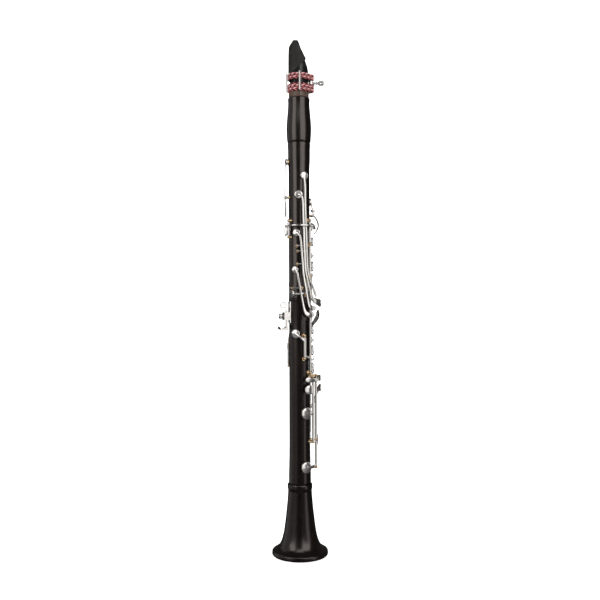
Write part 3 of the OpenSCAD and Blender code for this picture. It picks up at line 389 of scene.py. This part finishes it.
# ---- camera, floor and light ---------------------------------------------------------------------
VIEW_TURN = 12              # degrees round from the player's right towards the thumb side
ROLL = 0.18                 # degrees that the instrument leans to the left in the view
DISTANCE = 1.007            # camera to the instrument's axis
back = Vector((-math.sin(math.radians(VIEW_TURN)), -math.cos(math.radians(VIEW_TURN)), 0))
right = Vector((-back.y, back.x, 0))
AIM = Vector((0, 0, 0.325)) + right * 0.77 * MM

camera = bpy.data.objects.new("camera", bpy.data.cameras.new("camera"))
camera.data.sensor_width = 36
camera.data.lens = 47.2
camera.data.clip_start = 0.05
camera.data.clip_end = 20
camera.location = AIM + back * DISTANCE
level = (-back).to_track_quat("-Z", "Y")
camera.rotation_euler = (level @ Quaternion((0, 0, 1), math.radians(-ROLL))).to_euler()
bpy.context.scene.collection.objects.link(camera)
bpy.context.scene.camera = camera


def studio_bowl():
    """White paper that lies under the instrument and rises smoothly all round it, unseen in the metal."""
    inner, flat, bend, rise, steps = 0.6, 3.0, 1.0, 3.0, 72
    profile = [(inner, 0.0), (flat, 0.0)]
    profile += [(flat + bend * math.sin(math.radians(t)), bend - bend * math.cos(math.radians(t)))
                for t in range(10, 91, 10)]
    profile.append((flat + bend, bend + rise))
    points, faces = [(0, 0, 0)], []
    for reach, height in profile:
        for k in range(steps):
            a = 2 * math.pi * k / steps
            points.append((reach * math.cos(a), reach * math.sin(a), height))
    for k in range(steps):
        beside = (k + 1) % steps
        faces.append((0, 1 + k, 1 + beside))
        for i in range(len(profile) - 1):
            here, beyond = 1 + i * steps, 1 + (i + 1) * steps
            faces.append((here + k, beyond + k, beyond + beside, here + beside))
    mesh = bpy.data.meshes.new("floor")
    mesh.from_pydata(points, [], faces)
    for polygon in mesh.polygons:
        polygon.use_smooth = True
    mesh.materials.append(studio_paper())
    floor = bpy.data.objects.new("floor", mesh)
    floor.visible_glossy = False
    floor.visible_shadow = False
    bpy.context.scene.collection.objects.link(floor)
    floor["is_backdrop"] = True


LIGHT_DISTANCE = 1.2        # of a softbox from the instrument's axis


def lit_group(name, members):
    """A group of objects that a light can be kept to."""
    group = bpy.data.collections.new(name)
    for obj in members:
        group.objects.link(obj)
    return group


def softbox(name, angle, height, width, tall, radiance, group, distance=LIGHT_DISTANCE, target_height=None):
    """A soft light, width by tall metres, that stands at an angle round the instrument, measured as in
    the CAD. It lights one group. It faces the axis at its own height, or at target_height."""
    light = bpy.data.lights.new(name, "AREA")
    light.shape = "RECTANGLE"
    light.size, light.size_y = width, tall
    light.energy = radiance * math.pi * width * tall
    obj = bpy.data.objects.new(name, light)
    a = math.radians(angle)
    obj.location = Vector((distance * math.cos(a), distance * math.sin(a), height))
    target = Vector((0, 0, height if target_height is None else target_height))
    obj.rotation_euler = (target - obj.location).to_track_quat("-Z", "Y").to_euler()
    obj.visible_camera = False
    obj.light_linking.receiver_collection = group
    bpy.context.scene.collection.objects.link(obj)


def shades(tree, value, stops):
    """A grey ramp through stops, as (place, shade)."""
    ramp = tree.nodes.new("ShaderNodeValToRGB")
    elements = ramp.color_ramp.elements
    while len(elements) < len(stops):
        elements.new(0.5)
    for element, (place, shade) in zip(elements, stops):
        element.position = place
        element.color = (shade, shade, shade, 1)
    tree.links.new(value, ramp.inputs["Fac"])
    return ramp.outputs["Color"]


# brightness of the sky by height, from 0 straight down to 1 straight up
SKY_BY_HEIGHT = [(0.0, 0.5), (0.42, 0.55), (0.5, 0.6), (0.58, 0.75), (0.72, 0.9), (1.0, 1.0)]
# and by side, from 0 beyond the instrument to 1 at the camera, which is dark itself
SKY_BY_SIDE = [(0.0, 0.09), (0.5, 0.12), (0.66, 0.18), (0.76, 0.36), (0.85, 0.46), (0.97, 0.44),
               (0.992, 0.1)]


def studio_sky():
    """What polished metal and wood mirror: pale walls and ceiling on the camera's side, dark beyond."""
    world = bpy.data.worlds.new("studio")
    bpy.context.scene.world = world
    world.use_nodes = True
    tree = world.node_tree
    direction = tree.nodes.new("ShaderNodeTexCoord").outputs["Generated"]
    shade = None
    for axis, stops in (((0, 0, 1), SKY_BY_HEIGHT), (tuple(back), SKY_BY_SIDE)):
        along = tree.nodes.new("ShaderNodeVectorMath")
        along.operation = "DOT_PRODUCT"
        along.inputs[1].default_value = axis
        scaled = tree.nodes.new("ShaderNodeMapRange")
        scaled.inputs["From Min"].default_value = -1
        tree.links.new(direction, along.inputs[0])
        tree.links.new(along.outputs["Value"], scaled.inputs["Value"])
        colour = shades(tree, scaled.outputs["Result"], stops)
        if shade is None:
            shade = colour
            continue
        both = tree.nodes.new("ShaderNodeVectorMath")
        both.operation = "MULTIPLY"
        tree.links.new(shade, both.inputs[0])
        tree.links.new(colour, both.inputs[1])
        tree.links.new(both.outputs["Vector"], tree.nodes["Background"].inputs["Color"])


studio_bowl()
dark_pieces = [nodes[node] for node in WOOD]
rubber_pieces = [nodes["mouthpiece"]]
matte_pieces = [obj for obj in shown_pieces() if obj.name.endswith("_braid")] + [nodes["mouthpiece_cap"]]
pale_pieces = [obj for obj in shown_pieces() if obj not in dark_pieces + rubber_pieces + matte_pieces]
dark_group = lit_group("dark_pieces", dark_pieces)
rubber_group = lit_group("rubber_pieces", rubber_pieces)
matte_group = lit_group("matte_pieces", matte_pieces)
pale_group = lit_group("pale_pieces", pale_pieces)
for group, radiance in ((dark_group, 6.0), (pale_group, 1.05), (matte_group, 2.2)):
    softbox("left_softbox", -150, 0.9, 0.78, 1.2, radiance, group)
    softbox("right_softbox", -64, 0.9, 1.07, 1.2, radiance, group)
softbox("rubber_left_softbox", -150, 0.9, 0.25, 1.2, 3.5, rubber_group)
softbox("rubber_right_softbox", -75, 0.9, 0.3, 1.2, 5.0, rubber_group)
softbox("wide_left_softbox", 160, 0.6, 1.3, 1.9, 0.8, dark_group)
softbox("low_left_softbox", -150, -0.03, 0.78, 0.66, 0.6, dark_group)
softbox("low_right_softbox", -44, -0.03, 0.5, 0.66, 2.0, dark_group)
softbox("top_softbox", -102, 1.25, 0.7, 0.7, 4.5, dark_group, distance=0.8, target_height=0.02)
softbox("far_right_softbox", 25, 0.45, 2.0, 1.5, 0.55, pale_group)
softbox("low_pale_softbox", -80, 0.05, 1.4, 0.5, 0.6, pale_group)
studio_sky()
bpy.context.scene.view_settings.view_transform = "Standard"
